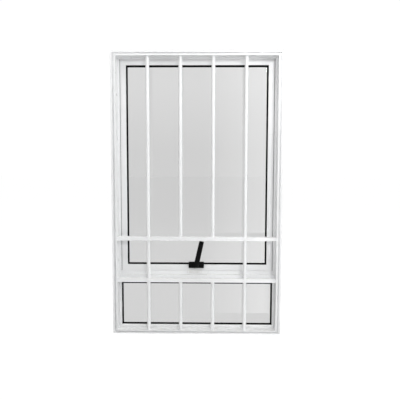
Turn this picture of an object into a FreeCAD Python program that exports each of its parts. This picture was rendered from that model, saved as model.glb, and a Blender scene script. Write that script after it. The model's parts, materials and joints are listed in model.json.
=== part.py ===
import FreeCAD, Part
import os
import re
import Sketcher

# Top-hung projecting window with a fixed light below it and a security grille inside the frame.
# X runs to the right seen from the room, Y from the room to the outside, Z up, in millimetres.
# The origin is at the middle of the sill's underside, halfway through the frame's depth.
# "Depth" always means the distance behind the frame's room-side face.

SIZES = [
    ("frame_width", 600, "frame, overall width"),
    ("frame_height", 1000, "frame, overall height"),
    ("frame_depth", 90, "frame, room face to outer face"),
    ("wall", 1.5, "frame and sash extrusion wall"),
    ("jamb_face", 17, "jamb, width of its room face"),
    ("head_face", 16.5, "head, height of its room face"),
    ("sill_face", 12.5, "sill, height of its room face"),
    ("groove_edge", 6.5, "trim groove, distance from the outer edge"),
    ("sill_groove_edge", 4.5, "trim groove of the sill, distance from the outer edge"),
    ("groove_width", 5, "trim groove, width"),
    ("groove_depth", 7, "trim groove, depth"),
    ("stop_depth", 54.5, "depth at which the stop fins begin"),
    ("stop_thick", 2, "stop fin, thickness"),
    ("stop_reach", 6.5, "jamb and sill stop fin, height over the reveal"),
    ("head_stop_reach", 4.5, "head stop fin, height over the reveal"),
    ("nose_lip", 4, "jamb and head, width of the lip at the outer face"),
    ("sill_nose", 5, "sill, height of its outer edge"),
    ("transom_base", 189, "transom, height of its underside"),
    ("transom_height", 17, "transom body, height"),
    ("transom_front", 40, "transom body, depth of its room face"),
    ("transom_back", 80, "transom body, depth of its outer face"),
    ("transom_stop", 13, "transom, height of the sash stop fin"),
    ("transom_step", 6, "transom, height of the rebate along its top edge"),
    ("side_lap", 3.5, "stop over sash at the sides"),
    ("top_lap", 6.5, "stop over sash at the top"),
    ("bottom_lap", 5.5, "stop over sash at the bottom"),
    ("seal_gap", 2.5, "stop fin to sash face"),
    ("seal_thick", 1.7, "bulb seal, thickness"),
    ("sash_thick", 28, "sash, thickness"),
    ("sash_face", 25.2, "stiles and top rail, face width"),
    ("sash_bottom_face", 27.5, "bottom rail, face height"),
    ("glass_leg", 7.4, "sash, leg that laps the glass"),
    ("leg_thick", 2, "sash, thickness of that leg"),
    ("gasket_show", 6, "glazing gasket, width in view"),
    ("gasket_thick", 5, "sash room-side gasket, thickness"),
    ("outer_gasket_thick", 4, "sash outer gasket, thickness"),
    ("glass_thick", 4, "glass, thickness"),
    ("glass_gap", 4, "glass edge to the extrusion"),
    ("bead_width", 9, "sash glazing bead, width"),
    ("fixed_bead_width", 8, "fixed light bead, width"),
    ("fixed_bead_depth", 38, "fixed light bead, depth of its room face"),
    ("fixed_bead_thick", 8, "fixed light bead, thickness"),
    ("fixed_gasket_thick", 2.5, "fixed light room-side gasket, thickness"),
    ("fixed_glass_gap", 2, "fixed glass edge to the reveal"),
    ("block_length", 60, "setting block, length"),
    ("cleat_leg", 34, "corner cleat, leg length"),
    ("cleat_fit", 0.2, "corner cleat, clearance in its chamber"),
    ("bar_diameter", 12.7, "upright bar, diameter"),
    ("tube_wall", 1.2, "bar and rail, wall"),
    ("bar_spacing", 115, "upright bars, spacing"),
    ("bar_depth", 15, "upright bars, depth of their axis"),
    ("bar_entry", 3, "upright bar, length inside the frame or a rail"),
    ("bar_fit", 0.15, "upright bar, clearance in its hole"),
    ("rail_height", 12.7, "grille rail, height"),
    ("rail_thick", 20, "grille rail, room side to outside"),
    ("upper_rail_height", 344, "upper rail, height of its middle"),
    ("lower_rail_height", 193.5, "lower rail, height of its middle"),
    ("plug_length", 15, "rail end plug, length"),
    ("plug_fit", 0.2, "rail end plug, clearance"),
    ("screw_radius", 2, "screw shank, radius"),
    ("screw_head_radius", 3.8, "screw head, radius"),
    ("screw_head_height", 2.2, "screw head, height"),
    ("screw_fit", 0.1, "clearance round a screw, pin or rivet"),
    ("rivet_radius", 1.6, "rivet shank, radius"),
    ("rivet_head_radius", 3, "rivet head, radius"),
    ("rivet_head_height", 1, "rivet head, height"),
    ("fixing_radius", 3.25, "wall fixing hole, radius"),
    ("fixing_depth", 14, "wall fixing holes, depth of their axis"),
    ("fixing_offset", 115, "head and sill fixing holes, distance from the middle"),
    ("fixing_high", 875, "jamb fixing hole, upper"),
    ("fixing_middle", 425, "jamb fixing hole, middle"),
    ("fixing_low", 110, "jamb fixing hole, lower"),
    ("access_radius", 5, "driver access hole, radius"),
    ("stay_arm", 150, "stay, distance between pivots"),
    ("stay_width", 16, "stay arm and sash bar, width"),
    ("stay_thick", 3, "stay arm and sash bar, thickness"),
    ("pivot_drop", 4, "top pivot below the sash's top edge"),
    ("pivot_setback", 12, "pivots behind the sash's room face"),
    ("pivot_radius", 3, "stay pivot pin, radius"),
    ("collar_radius", 5.5, "stay pivot pin, radius of collar and head"),
    ("pivot_fit", 0.3, "running clearance of the stay"),
    ("track_width", 18, "stay track, width"),
    ("track_wall", 1.5, "stay track, wall"),
    ("track_height", 5.5, "stay track, height from the jamb"),
    ("track_top", 14, "stay track, length over the top pivot"),
    ("track_foot", 22, "stay track, length under the frame pivot"),
    ("shoe_length", 24, "stay shoe, length"),
    ("shoe_thick", 6.5, "stay shoe, thickness"),
    ("handle_shift", -2, "handle axis, distance right of the middle"),
    ("handle_rise", 26.8, "handle axis, height over the sash's bottom edge"),
    ("handle_tilt", 12.5, "handle lever, tilt from upright when closed, degrees"),
    ("base_width", 56, "handle base, width"),
    ("base_height", 22.7, "handle base, height"),
    ("base_thick", 8, "handle base, thickness"),
    ("base_round", 2, "handle base, corner radius"),
    ("base_screw_offset", 20, "handle base, screw distance from the axis"),
    ("hub_radius", 9, "handle hub, radius"),
    ("hub_length", 11, "handle hub, length"),
    ("spindle_radius", 4, "handle spindle, radius"),
    ("lever_length", 91, "handle lever, axis to tip"),
    ("lever_width", 14, "handle lever, width at the hub"),
    ("lever_tip_width", 12, "handle lever, width at the tip"),
    ("lever_thick", 7.5, "handle lever, thickness"),
    ("lever_round", 1.6, "handle lever, edge radius"),
    ("tongue_width", 8, "cam tongue, width"),
    ("tongue_reach", 25, "cam tongue, length from the axis"),
    ("tongue_thick", 3.2, "cam tongue, thickness"),
    ("keeper_width", 54, "keeper, width"),
    ("keeper_shift", -9, "keeper, distance right of the middle"),
    ("keeper_drop", 9, "keeper, height down the stop fin"),
    ("keeper_cap", 2, "keeper, height over the stop fin"),
    ("keeper_front", 3.2, "keeper, thickness on the room side"),
    ("keeper_fit", 0.1, "keeper, clearance round the stop fin"),
]

doc = FreeCAD.newDocument("projecting_window")
sheet = doc.addObject("Spreadsheet::Sheet", "sizes")
for line, (alias, size, meaning) in enumerate(SIZES, start=1):
    sheet.set(f"A{line}", meaning)
    sheet.set(f"B{line}", str(size))
    sheet.setAlias(f"B{line}", alias)
doc.recompute()

ALIASES = {alias for alias, size, meaning in SIZES}
LEFT, RIGHT = -1, 1
SIDES = (("left", LEFT), ("right", RIGHT))
ACROSS_X = FreeCAD.Rotation(FreeCAD.Vector(0, 1, 0), 90)
ACROSS_Y = FreeCAD.Rotation(FreeCAD.Vector(1, 0, 0), -90)
OUTLINE_YZ = FreeCAD.Rotation(FreeCAD.Vector(1, 1, 1), 120)
OUTLINE_XZ = FreeCAD.Rotation(FreeCAD.Vector(1, 0, 0), 90)
nodes = {}


# ---------------------------------------------------------------- expressions

def linked(text):
    """The expression with each size's name pointing at its cell."""
    return re.sub(r"[a-z_]\w*", lambda word: f"sizes.{word[0]}" if word[0] in ALIASES else word[0], str(text))


def bind(thing, prop, text):
    thing.setExpression(prop, linked(text))


def value(text):
    return float(sheet.evalExpression(linked(text)))


def at_depth(text):
    """The Y of a depth behind the room face."""
    return f"({text} - frame_depth / 2)"


def span(side, near, far):
    """A range of X on one side, from near to far off the middle plane."""
    return (f"({near})", f"({far})") if side == RIGHT else (f"-({far})", f"-({near})")


# ---------------------------------------------------------------- solids

def block(x, y, z):
    """A box between two planes on each axis."""
    box = doc.addObject("Part::Box", "block")
    for size, axis, (low, high) in zip(("Length", "Width", "Height"), "xyz", (x, y, z)):
        bind(box, size, f"{high} - ({low})")
        bind(box, f"Placement.Base.{axis}", low)
    return box


def turned(axis, place, *steps):
    """A turned piece along one axis; each step is (from, to, radius), place its other two coordinates."""
    pieces = []
    for low, high, radius in steps:
        rod = doc.addObject("Part::Cylinder", "rod")
        rod.Placement.Rotation = {"x": ACROSS_X, "y": ACROSS_Y, "z": FreeCAD.Rotation()}[axis]
        bind(rod, "Radius", radius)
        bind(rod, "Height", f"{high} - ({low})")
        others = [other for other in "xyz" if other != axis]
        for name, where in zip([axis] + others, [low] + list(place)):
            bind(rod, f"Placement.Base.{name}", where)
        pieces.append(rod)
    return fused(*pieces)


def fused(*pieces):
    if len(pieces) == 1:
        return pieces[0]
    union = doc.addObject("Part::MultiFuse", "union")
    union.Shapes = list(pieces)
    return union


def common(first, second):
    overlap = doc.addObject("Part::Common", "overlap")
    overlap.Base = first
    overlap.Tool = second
    return overlap


def cut(base, *tools):
    remainder = doc.addObject("Part::Cut", "remainder")
    remainder.Base = base
    remainder.Tool = fused(*tools)
    return remainder


def group(*pieces):
    """Separate solids that share one node."""
    together = doc.addObject("Part::Compound", "together")
    together.Links = list(pieces)
    return together


def add_outline(sketch, corners):
    """A closed outline whose corners are each held at their two expressions."""
    first = sketch.GeometryCount
    points = [FreeCAD.Vector(value(u), value(v), 0) for u, v in corners]
    for start, end in zip(points, points[1:] + points[:1]):
        sketch.addGeometry(Part.LineSegment(start, end), False)
    for index, corner in enumerate(corners):
        line = first + index
        following = first + (index + 1) % len(corners)
        sketch.addConstraint(Sketcher.Constraint("Coincident", line, 2, following, 1))
        for kind, text in zip(("DistanceX", "DistanceY"), corner):
            number = sketch.addConstraint(Sketcher.Constraint(kind, -1, 1, line, 1, value(text)))
            sketch.setExpression(f"Constraints[{number}]", linked(text))


def extruded(direction, outlines, low, high):
    """An extrusion along X, Y or Z; the outlines are in Y and Z, X and Z, or X and Y."""
    body = doc.addObject("PartDesign::Body", "extrusion")
    body.Placement.Rotation = {"x": OUTLINE_YZ, "y": OUTLINE_XZ, "z": FreeCAD.Rotation()}[direction]
    bind(body, f"Placement.Base.{direction}", high if direction == "y" else low)
    plane = next(item for item in body.Origin.OriginFeatures if item.Role == "XY_Plane")
    sketch = body.newObject("Sketcher::SketchObject", "outline")
    sketch.AttachmentSupport = [(plane, "")]
    sketch.MapMode = "FlatFace"
    for corners in outlines:
        add_outline(sketch, corners)
    pad = body.newObject("PartDesign::Pad", "pad")
    pad.Profile = sketch
    bind(pad, "Length", f"{high} - ({low})")
    return body


def ring(half_width, bottom, top, inset, y, side_inset=None):
    """A rectangular ring: its outer half width, bottom and top, and how far in its opening starts."""
    outer = block((f"-({half_width})", half_width), y, (bottom, top))
    across = side_inset or inset
    inner = block((f"{across} - ({half_width})", f"{half_width} - ({across})"), y,
                  (f"{bottom} + {inset}", f"{top} - ({inset})"))
    return cut(outer, inner)


def keep(name, thing):
    """Names a finished sub-part after the piece it is."""
    thing.Label = name
    nodes[name] = thing
    return thing


# ---------------------------------------------------------------- places used by several pieces

HALF = "frame_width / 2"
REVEAL = f"({HALF} - jamb_face)"
HEAD_REVEAL = "(frame_height - head_face)"
STOP_BACK = "(stop_depth + stop_thick)"
TRANSOM_TOP = "(transom_base + transom_height)"
TRANSOM_FIN_TOP = f"({TRANSOM_TOP} + transom_stop)"
SASH_HALF = f"({REVEAL} - stop_reach + side_lap)"
SASH_TOP = f"({HEAD_REVEAL} - head_stop_reach + top_lap)"
SASH_BOTTOM = f"({TRANSOM_FIN_TOP} - bottom_lap)"
SASH_FRONT = f"({STOP_BACK} + seal_gap)"
SASH_BACK = f"({SASH_FRONT} + sash_thick)"
CHANNEL_SIDE = "(sash_face - glass_leg)"
CHANNEL_BOTTOM = "(sash_bottom_face - glass_leg)"
GLASS_FRONT = f"({SASH_FRONT} + leg_thick + gasket_thick)"
GLASS_BACK = f"({GLASS_FRONT} + glass_thick)"
FIXED_GASKET_FRONT = "(fixed_bead_depth + fixed_bead_thick)"
FIXED_GLASS_FRONT = f"({FIXED_GASKET_FRONT} + fixed_gasket_thick)"
FIXED_GLASS_BACK = f"({FIXED_GLASS_FRONT} + glass_thick)"
RAIL_FRONT = "(bar_depth - rail_thick / 2)"
RAIL_BACK = "(bar_depth + rail_thick / 2)"
INNER_BAR = "bar_spacing / 2"
OUTER_BAR = "(bar_spacing * 3 / 2)"
TRACK_BASE = f"({HALF} - wall)"
SHOE_FAR = f"({TRACK_BASE} - track_wall - pivot_fit)"
SHOE_NEAR = f"({SHOE_FAR} - shoe_thick)"
ARM_FAR = f"({SHOE_NEAR} - pivot_fit * 2)"
ARM_NEAR = f"({ARM_FAR} - stay_thick)"
SASH_BAR_FAR = f"({SASH_HALF} + stay_thick)"
PIVOT_Y = at_depth(f"{SASH_FRONT} + pivot_setback")
TOP_PIVOT = f"({SASH_TOP} - pivot_drop)"
SASH_PIVOT = f"({TOP_PIVOT} - stay_arm)"
FRAME_PIVOT = f"({SASH_PIVOT} - stay_arm)"
HANDLE_HEIGHT = f"({SASH_BOTTOM} + handle_rise)"
BASE_FRONT = f"({SASH_FRONT} - base_thick)"
HUB_BACK = f"({BASE_FRONT} - pivot_fit)"
BAR_HOLE = "bar_diameter / 2 + bar_fit"
RAILS = (("upper", "upper_rail_height"), ("lower", "lower_rail_height"))


# ---------------------------------------------------------------- mitred extrusions

def mitre_block(side, box, faces):
    """The space that one member of a mitred rectangle fills, out to twice the face widths."""
    left, right, bottom, top = box
    upright, low, high = (f"2 * {width}" for width in faces)
    corners = {
        "left": [(left, bottom), (f"{left} + {upright}", f"{bottom} + {low}"),
                 (f"{left} + {upright}", f"{top} - {high}"), (left, top)],
        "right": [(right, bottom), (right, top), (f"{right} - {upright}", f"{top} - {high}"),
                  (f"{right} - {upright}", f"{bottom} + {low}")],
        "bottom": [(left, bottom), (right, bottom), (f"{right} - {upright}", f"{bottom} + {low}"),
                   (f"{left} + {upright}", f"{bottom} + {low}")],
        "top": [(left, top), (f"{left} + {upright}", f"{top} - {high}"),
                (f"{right} - {upright}", f"{top} - {high}"), (right, top)],
    }[side]
    return extruded("y", [corners], "-frame_depth", "frame_depth")


def mitred(side, box, faces, profiles):
    """One member: its profiles are in distance from the outer edge and depth behind the room face."""
    left, right, bottom, top = box
    place = {
        "left": lambda off, depth: (f"{left} + {off}", at_depth(depth)),
        "right": lambda off, depth: (f"{right} - ({off})", at_depth(depth)),
        "bottom": lambda off, depth: (at_depth(depth), f"{bottom} + {off}"),
        "top": lambda off, depth: (at_depth(depth), f"{top} - ({off})"),
    }[side]
    outlines = [[place(off, depth) for off, depth in profile] for profile in profiles]
    if side in ("left", "right"):
        bar = extruded("z", outlines, bottom, top)
    else:
        bar = extruded("x", outlines, left, right)
    return common(bar, mitre_block(side, box, faces))


# ---------------------------------------------------------------- frame

FRAME_BOX = (f"-{HALF}", HALF, "0", "frame_height")
FRAME_FACES = ("jamb_face", "sill_face", "head_face")


def frame_profile(face, reach):
    """Jamb or head: a hollow bar with a trim groove, a stop fin and a thin outer wall with a lip."""
    channel_near = "groove_edge - wall"
    channel_far = "groove_edge + groove_width + wall"
    outside = [("0", "0"), ("groove_edge", "0"), ("groove_edge", "groove_depth"),
               ("groove_edge + groove_width", "groove_depth"), ("groove_edge + groove_width", "0"),
               (face, "0"), (face, "stop_depth"), (f"{face} + {reach}", "stop_depth"),
               (f"{face} + {reach}", STOP_BACK), ("wall", STOP_BACK), ("wall", "frame_depth - wall"),
               ("nose_lip", "frame_depth - wall"), ("nose_lip", "frame_depth"), ("0", "frame_depth")]
    chamber = [("wall", "wall"), (channel_near, "wall"), (channel_near, "groove_depth + wall"),
               (channel_far, "groove_depth + wall"), (channel_far, "wall"), (f"{face} - wall", "wall"),
               (f"{face} - wall", "stop_depth"), ("wall", "stop_depth")]
    return [outside, chamber]


def sill_profile():
    """Sill: the same bar with a sloping hollow nose outside its stop fin."""
    groove_far = "sill_groove_edge + groove_width"
    slope = "(sill_face - sill_nose)"
    # the sloping top is measured upright, so its wall is a fifth more than the others
    outside = [("0", "0"), ("sill_groove_edge", "0"), ("sill_groove_edge", "groove_depth"),
               (groove_far, "groove_depth"), (groove_far, "0"), ("sill_face", "0"),
               ("sill_face", "stop_depth"), ("sill_face + stop_reach", "stop_depth"),
               ("sill_face + stop_reach", STOP_BACK), ("sill_face", STOP_BACK),
               ("sill_nose", "frame_depth"), ("0", "frame_depth")]
    chamber = [("wall", "wall"), ("sill_groove_edge - wall", "wall"),
               ("sill_groove_edge - wall", "groove_depth + wall"),
               ("sill_face - wall", "groove_depth + wall"),
               ("sill_face - wall", "stop_depth"), ("wall", "stop_depth")]
    nose = [("wall", STOP_BACK), ("sill_face - wall * 1.2", STOP_BACK),
            (f"sill_nose + {slope} * wall / (frame_depth - {STOP_BACK}) - wall * 1.2", "frame_depth - wall"),
            ("wall", "frame_depth - wall")]
    return [outside, chamber, nose]


def fixing_hole(axis, place, low, high):
    return turned(axis, place, (low, high, "fixing_radius"))


def bar_hole(offset, low, high):
    return turned("z", (offset, at_depth("bar_depth")), (low, high, BAR_HOLE))


def bar_offsets():
    return [f"{sign}({offset})" for offset in (OUTER_BAR, INNER_BAR) for sign in ("-", "")]


def build_head():
    bar = mitred("top", FRAME_BOX, FRAME_FACES, frame_profile("head_face", "head_stop_reach"))
    entry = f"{HEAD_REVEAL} + bar_entry + bar_fit"
    tools = [bar_hole(offset, f"{HEAD_REVEAL} - wall", entry) for offset in bar_offsets()]
    for sign in ("-", ""):
        tools.append(fixing_hole("z", (f"{sign}fixing_offset", at_depth("fixing_depth")),
                                 f"{HEAD_REVEAL} - wall", "frame_height + wall"))
    keep("head", cut(bar, *tools))


def build_sill():
    bar = mitred("bottom", FRAME_BOX, FRAME_FACES, sill_profile())
    entry = "sill_face - bar_entry - bar_fit"
    tools = [bar_hole(offset, entry, "sill_face + wall") for offset in bar_offsets()]
    for sign in ("-", ""):
        tools.append(fixing_hole("z", (f"{sign}fixing_offset", at_depth("fixing_depth")),
                                 "-wall", "sill_face + wall"))
    keep("sill", cut(bar, *tools))


def track_rivet_heights():
    return (f"{FRAME_PIVOT} - track_foot / 2", f"{FRAME_PIVOT} + stay_arm / 2",
            f"{SASH_PIVOT} + stay_arm / 4")


def build_jamb(name, side):
    bar = mitred(name, FRAME_BOX, FRAME_FACES, frame_profile("jamb_face", "stop_reach"))
    through = span(side, f"{REVEAL} - wall", f"{HALF} + wall")
    outer_wall = span(side, f"{TRACK_BASE} - wall / 2", f"{HALF} + wall")
    reveal_wall = span(side, f"{REVEAL} - wall / 2", f"{REVEAL} + wall * 2")
    tools = []
    for height in ("fixing_high", "fixing_middle", "fixing_low"):
        tools.append(fixing_hole("x", (at_depth("fixing_depth"), height), *through))
    for rail, height in RAILS:
        place = (at_depth("bar_depth"), height)
        tools.append(turned("x", place, (*reveal_wall, "screw_radius + screw_fit")))
        tools.append(turned("x", place, (*outer_wall, "access_radius")))
    for height in track_rivet_heights():
        tools.append(turned("x", (PIVOT_Y, height), (*outer_wall, "rivet_radius + screw_fit")))
    keep(f"{name}_jamb", cut(bar, *tools))


def build_transom():
    fins = [(at_depth("stop_depth"), "transom_base - stop_reach"),
            (at_depth(STOP_BACK), "transom_base - stop_reach"),
            (at_depth(STOP_BACK), "transom_base"), (at_depth("transom_back"), "transom_base"),
            (at_depth("transom_back"), f"{TRANSOM_TOP} - transom_step"), (at_depth(STOP_BACK), TRANSOM_TOP),
            (at_depth(STOP_BACK), TRANSOM_FIN_TOP), (at_depth("stop_depth"), TRANSOM_FIN_TOP),
            (at_depth("stop_depth"), TRANSOM_TOP), (at_depth("transom_front + wall * 2"), TRANSOM_TOP),
            (at_depth("transom_front + wall * 2"), f"{TRANSOM_TOP} - transom_step"),
            (at_depth("transom_front"), f"{TRANSOM_TOP} - transom_step"),
            (at_depth("transom_front"), "transom_base"), (at_depth("stop_depth"), "transom_base")]
    hollow = [(at_depth("transom_front + wall"), "transom_base + wall"),
              (at_depth("transom_back - wall"), "transom_base + wall"),
              (at_depth("transom_back - wall"), f"{TRANSOM_TOP} - transom_step - wall"),
              (at_depth("transom_front + wall"), f"{TRANSOM_TOP} - transom_step - wall")]
    bar = extruded("x", [fins, hollow], f"-{TRACK_BASE}", TRACK_BASE)
    z = ("transom_base - stop_reach - wall", f"{TRANSOM_FIN_TOP} + wall")
    copes = []
    for name, side in SIDES:
        copes.append(block(span(side, REVEAL, HALF),
                           (at_depth("transom_front - wall"), at_depth(STOP_BACK)), z))
        copes.append(block(span(side, f"{REVEAL} - stop_reach", f"{REVEAL} + wall"),
                           (at_depth("stop_depth"), at_depth(STOP_BACK)), z))
    keep("transom", cut(bar, *copes))


def cleat(side, up, outer_x, outer_z, across, along, y):
    """An L-shaped corner cleat; up is 1 at a bottom corner and -1 at a top one."""
    start_x = (f"{outer_x} - ({across})", outer_x)
    leg_x = (f"{outer_x} - cleat_leg", outer_x)
    thick = (outer_z, f"{outer_z} + {along}") if up == 1 else (f"{outer_z} - ({along})", outer_z)
    tall = (outer_z, f"{outer_z} + cleat_leg") if up == 1 else (f"{outer_z} - cleat_leg", outer_z)
    return fused(block(span(side, *start_x), y, tall), block(span(side, *leg_x), y, thick))


def build_frame_cleats():
    y = (at_depth("groove_depth + wall + cleat_fit"), at_depth("stop_depth - cleat_fit"))
    edge = f"{HALF} - wall - cleat_fit"
    # half a wall narrower than the jamb's chamber, so that the leg clears the sill and head past the mitre
    across = "jamb_face - wall * 5 / 2 - cleat_fit * 2"
    pieces = []
    for name, side in SIDES:
        pieces.append(cleat(side, 1, edge, "(wall + cleat_fit)", across,
                            "sill_face - wall * 2 - cleat_fit * 2", y))
        pieces.append(cleat(side, -1, edge, "(frame_height - wall - cleat_fit)", across,
                            "head_face - wall * 2 - cleat_fit * 2", y))
    keep("frame_corner_cleats", group(*pieces))


def build_seal():
    y = (at_depth(STOP_BACK), at_depth(f"{STOP_BACK} + seal_thick"))
    half = f"({SASH_HALF} - cleat_fit)"
    keep("sash_seal", ring(half, f"{SASH_BOTTOM} + cleat_fit", f"{SASH_TOP} - cleat_fit",
                           "(side_lap - cleat_fit * 2)", y))


# ---------------------------------------------------------------- fixed light

def build_fixed_light():
    half = f"({REVEAL} - fixed_glass_gap)"
    low = "(sill_face + fixed_glass_gap)"
    high = "(transom_base - fixed_glass_gap)"
    keep("fixed_glass", block((f"-{half}", half), (at_depth(FIXED_GLASS_FRONT), at_depth(FIXED_GLASS_BACK)),
                              (low, high)))
    show = "(fixed_bead_width + gasket_show - fixed_glass_gap)"
    keep("fixed_inner_gasket", ring(half, low, high, show,
                                    (at_depth(FIXED_GASKET_FRONT), at_depth(FIXED_GLASS_FRONT))))
    keep("fixed_outer_gasket", ring(half, low, high, "(stop_reach - fixed_glass_gap)",
                                    (at_depth(FIXED_GLASS_BACK), at_depth("stop_depth"))))
    y = (at_depth("fixed_bead_depth"), at_depth(FIXED_GASKET_FRONT))
    inner = f"{REVEAL} - fixed_bead_width"
    beads = [block(span(side, inner, REVEAL), y, ("sill_face", "transom_base")) for name, side in SIDES]
    beads.append(block((f"-({inner})", inner), y, ("sill_face", "sill_face + fixed_bead_width")))
    beads.append(block((f"-({inner})", inner), y, ("transom_base - fixed_bead_width", "transom_base")))
    keep("fixed_glazing_beads", group(*beads))
    y = (at_depth(FIXED_GLASS_FRONT), at_depth(FIXED_GLASS_BACK))
    blocks = [block(span(side, f"{REVEAL} / 2", f"{REVEAL} / 2 + block_length"), y, ("sill_face", low))
              for name, side in SIDES]
    keep("fixed_setting_blocks", group(*blocks))


# ---------------------------------------------------------------- grille

def rivet_tool(offset, height):
    return turned("y", (offset, height),
                  (at_depth(f"{RAIL_FRONT} - wall"), at_depth("bar_depth"), "rivet_radius + screw_fit"))


def build_rail(name, height):
    """A rail with through holes for the outer bars and a one-sided hole for each inner bar."""
    y = (at_depth(RAIL_FRONT), at_depth(RAIL_BACK))
    outside = block((f"-{REVEAL}", REVEAL), y, (f"{height} - rail_height / 2", f"{height} + rail_height / 2"))
    inside = block((f"-({REVEAL} + wall)", f"{REVEAL} + wall"),
                   (at_depth(f"{RAIL_FRONT} + tube_wall"), at_depth(f"{RAIL_BACK} - tube_wall")),
                   (f"{height} - rail_height / 2 + tube_wall", f"{height} + rail_height / 2 - tube_wall"))
    low = f"{height} - rail_height / 2 - wall"
    high = f"{height} + rail_height / 2 + wall"
    one_side = (height, high) if name == "upper" else (low, height)
    tools = [inside]
    for offset in bar_offsets():
        tools.append(bar_hole(offset, *(one_side if INNER_BAR in offset else (low, high))))
        tools.append(rivet_tool(offset, height if OUTER_BAR in offset else rivet_height(name, height)))
    keep(f"{name}_rail", cut(outside, *tools))


def rivet_height(name, height):
    """An inner bar's end is inside the rail, so its rivet sits between that end and the rail's edge."""
    sign = "+" if name == "upper" else "-"
    return f"{height} {sign} rail_height / 5"


def round_bar(offset, low, high, rivets):
    place = (offset, at_depth("bar_depth"))
    tube = turned("z", place, (low, high, "bar_diameter / 2"))
    bore = turned("z", place, (f"{low} - wall", f"{high} + wall", "bar_diameter / 2 - tube_wall"))
    return cut(tube, bore, *(rivet_tool(offset, height) for height in rivets))


def build_bars():
    floor = "sill_face - bar_entry"
    ceiling = f"{HEAD_REVEAL} + bar_entry"
    for name, side in SIDES:
        sign = "-" if side == LEFT else ""
        outer, inner = f"{sign}({OUTER_BAR})", f"{sign}({INNER_BAR})"
        keep(f"{name}_long_bar", round_bar(outer, floor, ceiling, [height for rail, height in RAILS]))
        keep(f"{name}_upper_bar", round_bar(inner, "upper_rail_height", ceiling,
                                            [rivet_height("upper", "upper_rail_height")]))
        keep(f"{name}_lower_bar", round_bar(inner, floor, "lower_rail_height",
                                            [rivet_height("lower", "lower_rail_height")]))


def build_grille_fasteners():
    rivets, plugs, screws = [], [], []
    for rail, height in RAILS:
        for offset in bar_offsets():
            level = height if OUTER_BAR in offset else rivet_height(rail, height)
            shank_end = at_depth("bar_depth - bar_diameter / 2 + tube_wall")
            rivets.append(turned("y", (offset, level),
                                 (at_depth(f"{RAIL_FRONT} - rivet_head_height"), at_depth(RAIL_FRONT),
                                  "rivet_head_radius"),
                                 (at_depth(RAIL_FRONT), shank_end, "rivet_radius")))
        y = (at_depth(f"{RAIL_FRONT} + tube_wall + plug_fit"),
             at_depth(f"{RAIL_BACK} - tube_wall - plug_fit"))
        rise = "(rail_height / 2 - tube_wall - plug_fit)"
        for name, side in SIDES:
            plug = block(span(side, f"{REVEAL} - plug_length", REVEAL), y,
                         (f"{height} - {rise}", f"{height} + {rise}"))
            place = (at_depth("bar_depth"), height)
            pilot = turned("x", place, (*span(side, f"{REVEAL} - plug_length - wall", f"{REVEAL} + wall"),
                                        "screw_radius + screw_fit"))
            plugs.append(cut(plug, pilot))
            seat = f"{REVEAL} + wall"
            screws.append(turned("x", place,
                                 (*span(side, f"{REVEAL} - plug_length", seat), "screw_radius"),
                                 (*span(side, seat, f"{seat} + screw_head_height"), "screw_head_radius")))
    keep("grille_rivets", group(*rivets))
    keep("rail_end_plugs", group(*plugs))
    keep("rail_end_screws", group(*screws))


# ---------------------------------------------------------------- sash

SASH_BOX = (f"-{SASH_HALF}", SASH_HALF, SASH_BOTTOM, SASH_TOP)
SASH_FACES = ("sash_face", "sash_bottom_face", "sash_face")


def sash_profile(face):
    """A hollow bar whose room-side leg laps the glass."""
    channel = f"({face} - glass_leg)"
    outside = [("0", SASH_FRONT), (face, SASH_FRONT), (face, f"{SASH_FRONT} + leg_thick"),
               (channel, f"{SASH_FRONT} + leg_thick"), (channel, SASH_BACK), ("0", SASH_BACK)]
    chamber = [("wall", f"{SASH_FRONT} + leg_thick"), (f"{channel} - wall", f"{SASH_FRONT} + leg_thick"),
               (f"{channel} - wall", f"{SASH_BACK} - wall"), ("wall", f"{SASH_BACK} - wall")]
    return [outside, chamber]


def stay_screw_heights():
    return (f"{TOP_PIVOT} - stay_arm / 3", f"{TOP_PIVOT} - stay_arm * 2 / 3")


def build_sash_frame():
    keep("sash_top_rail", mitred("top", SASH_BOX, SASH_FACES, sash_profile("sash_face")))
    bottom = mitred("bottom", SASH_BOX, SASH_FACES, sash_profile("sash_bottom_face"))
    pilots = [turned("y", (offset, base_screw_height()), (at_depth(f"{SASH_FRONT} - wall"),
                     at_depth(f"{SASH_FRONT} + leg_thick + wall"), "screw_radius + screw_fit"))
              for offset in base_screw_offsets()]
    keep("sash_bottom_rail", cut(bottom, *pilots))
    for name, side in SIDES:
        bar = mitred(name, SASH_BOX, SASH_FACES, sash_profile("sash_face"))
        edge = span(side, f"{SASH_HALF} - wall * 2", f"{SASH_HALF} + wall")
        pilots = [turned("x", (PIVOT_Y, height), (*edge, "rivet_radius + screw_fit"))
                  for height in stay_screw_heights()]
        keep(f"sash_{name}_stile", cut(bar, *pilots))


def build_sash_cleats():
    y = (at_depth(f"{SASH_FRONT} + leg_thick + cleat_fit"), at_depth(f"{SASH_BACK} - wall - cleat_fit"))
    edge = f"({SASH_HALF} - wall - cleat_fit)"
    across = f"{CHANNEL_SIDE} - wall * 2 - cleat_fit * 2"
    pieces = []
    for name, side in SIDES:
        pieces.append(cleat(side, 1, edge, f"({SASH_BOTTOM} + wall + cleat_fit)", across, across, y))
        pieces.append(cleat(side, -1, edge, f"({SASH_TOP} - wall - cleat_fit)", across, across, y))
    keep("sash_corner_cleats", group(*pieces))


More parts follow.
